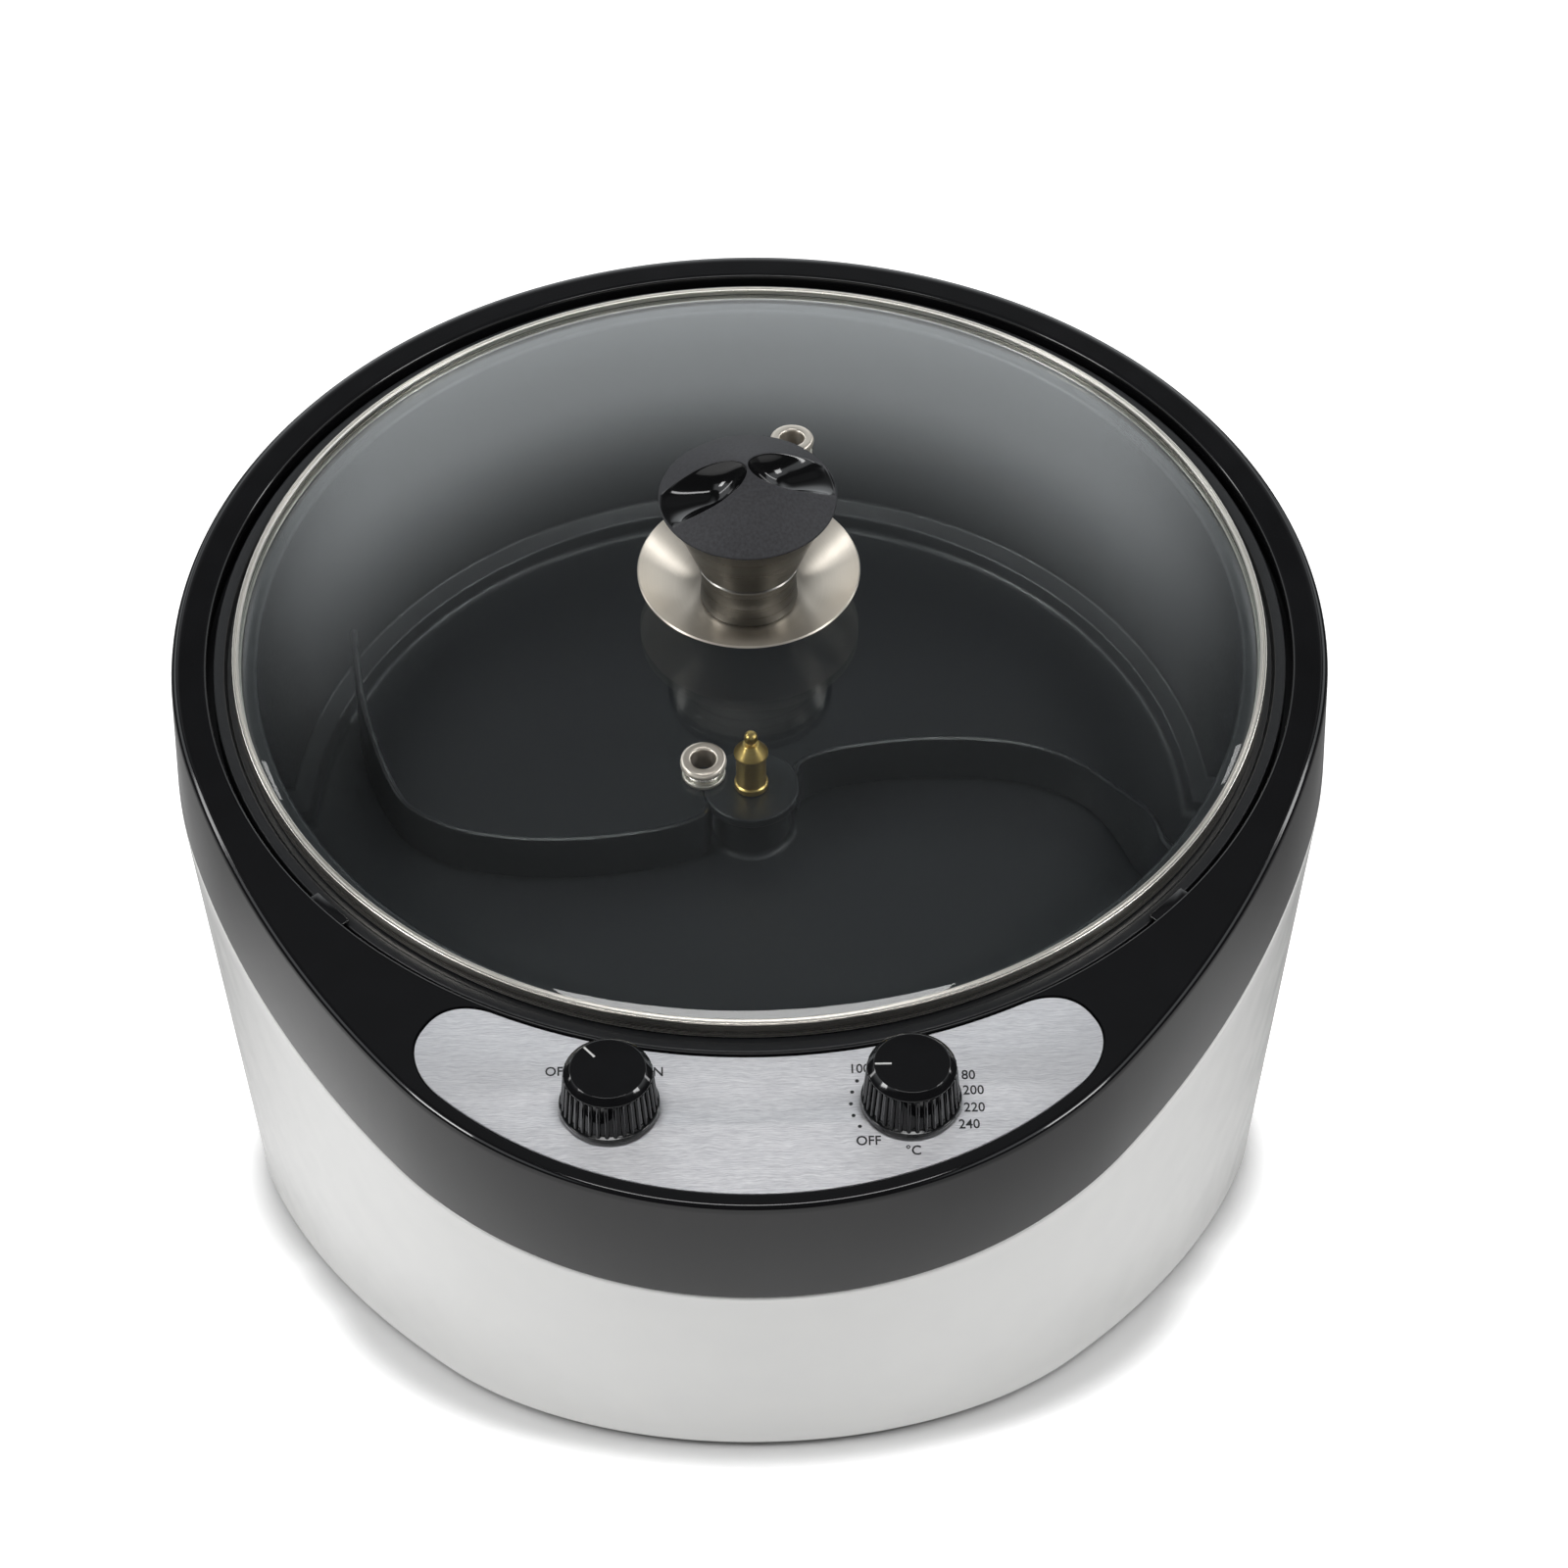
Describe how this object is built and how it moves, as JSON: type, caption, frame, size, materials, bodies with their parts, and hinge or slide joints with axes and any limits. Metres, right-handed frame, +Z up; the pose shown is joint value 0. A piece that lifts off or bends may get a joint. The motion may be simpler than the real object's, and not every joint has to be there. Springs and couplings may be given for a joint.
{
  "type": "home coffee bean roaster",
  "caption": "Countertop coffee bean roaster: tilted heated pot with a turning S stirrer, loose domed glass lid, crescent control panel with two knobs, level white body.",
  "frame": {"origin": "centre of the whole part's outline on the surface it stands on", "axes": "+Y from the control panel to the back, +Z up, +X to the right as seen by the user"},
  "size_m": [0.3156, 0.3614, 0.2403],
  "materials": {
    "cover_black": "high gloss black moulding",
    "body_white": "gloss white moulding",
    "panel_brushed": "brushed across, clear lacquer",
    "zinc_sheet": "zinc plated",
    "satin_steel": "satin stainless",
    "dark_steel": "turned, dark satin",
    "element_steel": "heat-darkened steel",
    "pot_coating": "satin black non-stick coating",
    "knob_black": "gloss black moulding, matt top",
    "cap_black": "gloss black moulding with grained facets",
    "inner_plastic": "black moulding",
    "foot_rubber": "matt rubber",
    "seal_silicone": "grey silicone",
    "brass": "turned brass",
    "copper": "drawn copper",
    "ceramic_white": "unglazed steatite",
    "lid_glass": "clear tempered glass"
  },
  "bodies": {
    "housing": {"top_cover": "cover_black", "control_panel_plate": "panel_brushed", "body_shell": "body_white", "base_plate": "zinc_sheet", "foot_front_left": "foot_rubber", "foot_front_right": "foot_rubber", "foot_rear_left": "foot_rubber", "foot_rear_right": "foot_rubber", "foot_screw_front_left": "zinc_sheet", "foot_screw_front_right": "zinc_sheet", "foot_screw_rear_left": "zinc_sheet", "foot_screw_rear_right": "zinc_sheet", "terminal_block": "ceramic_white", "roasting_pot": "pot_coating", "pot_gasket": "seal_silicone", "heat_shield": "zinc_sheet", "shield_screw_1": "zinc_sheet", "shield_screw_2": "zinc_sheet", "shield_screw_3": "zinc_sheet", "shield_screw_4": "zinc_sheet", "heating_element": "element_steel", "element_support_1": "ceramic_white", "element_support_2": "ceramic_white", "element_support_3": "ceramic_white", "thermal_cutout": "ceramic_white", "thermostat_sensor": "copper", "thermostat_body": "zinc_sheet", "thermostat_nut": "zinc_sheet", "power_switch_body": "inner_plastic", "power_switch_nut": "zinc_sheet", "motor_bracket": "zinc_sheet", "motor_screw_1": "zinc_sheet", "motor_screw_2": "zinc_sheet", "gearbox_housing": "zinc_sheet", "motor_can": "zinc_sheet", "spindle_bush": "brass", "shaft_seal": "seal_silicone", "power_inlet": "inner_plastic", "inlet_pin_live": "satin_steel", "inlet_pin_neutral": "satin_steel", "inlet_pin_earth": "satin_steel"},
    "lid": {"lid_glass": "lid_glass", "lid_rim_band": "satin_steel", "lid_vent_front": "satin_steel", "lid_vent_rear": "satin_steel", "lid_knob_saucer": "satin_steel", "lid_knob_collar": "dark_steel", "lid_knob_cone": "dark_steel", "lid_knob_cap": "cap_black", "lid_knob_screw": "satin_steel", "lid_knob_washer": "seal_silicone"},
    "stirrer": {"output_shaft": "satin_steel", "shaft_coupling": "element_steel", "stirrer_spindle": "satin_steel", "stirrer_blade": "pot_coating", "stirrer_nut": "brass"},
    "power_control": {"power_knob": "knob_black", "power_switch_shaft": "element_steel"},
    "temperature_control": {"temperature_knob": "knob_black", "thermostat_shaft": "element_steel"}
  },
  "joints": [
    {"name": "lid_lift", "type": "slide", "parent": "housing", "child": "lid", "axis": [0, -0.4226, 0.9063], "range_m": [0, 0.15]},
    {"name": "stirrer_turn", "type": "hinge", "parent": "housing", "child": "stirrer", "pos_m": [0, -0.00331, 0.1753], "axis": [0, -0.4226, 0.9063], "continuous": true},
    {"name": "power_knob_turn", "type": "hinge", "parent": "housing", "child": "power_control", "pos_m": [-0.0375, -0.15195, 0.10599], "axis": [0, -0.4226, 0.9063], "range_deg": [-80, 0]},
    {"name": "temperature_knob_turn", "type": "hinge", "parent": "housing", "child": "temperature_control", "pos_m": [0.0375, -0.15195, 0.10599], "axis": [0, -0.4226, 0.9063], "range_deg": [-207, 51]}
  ]
}
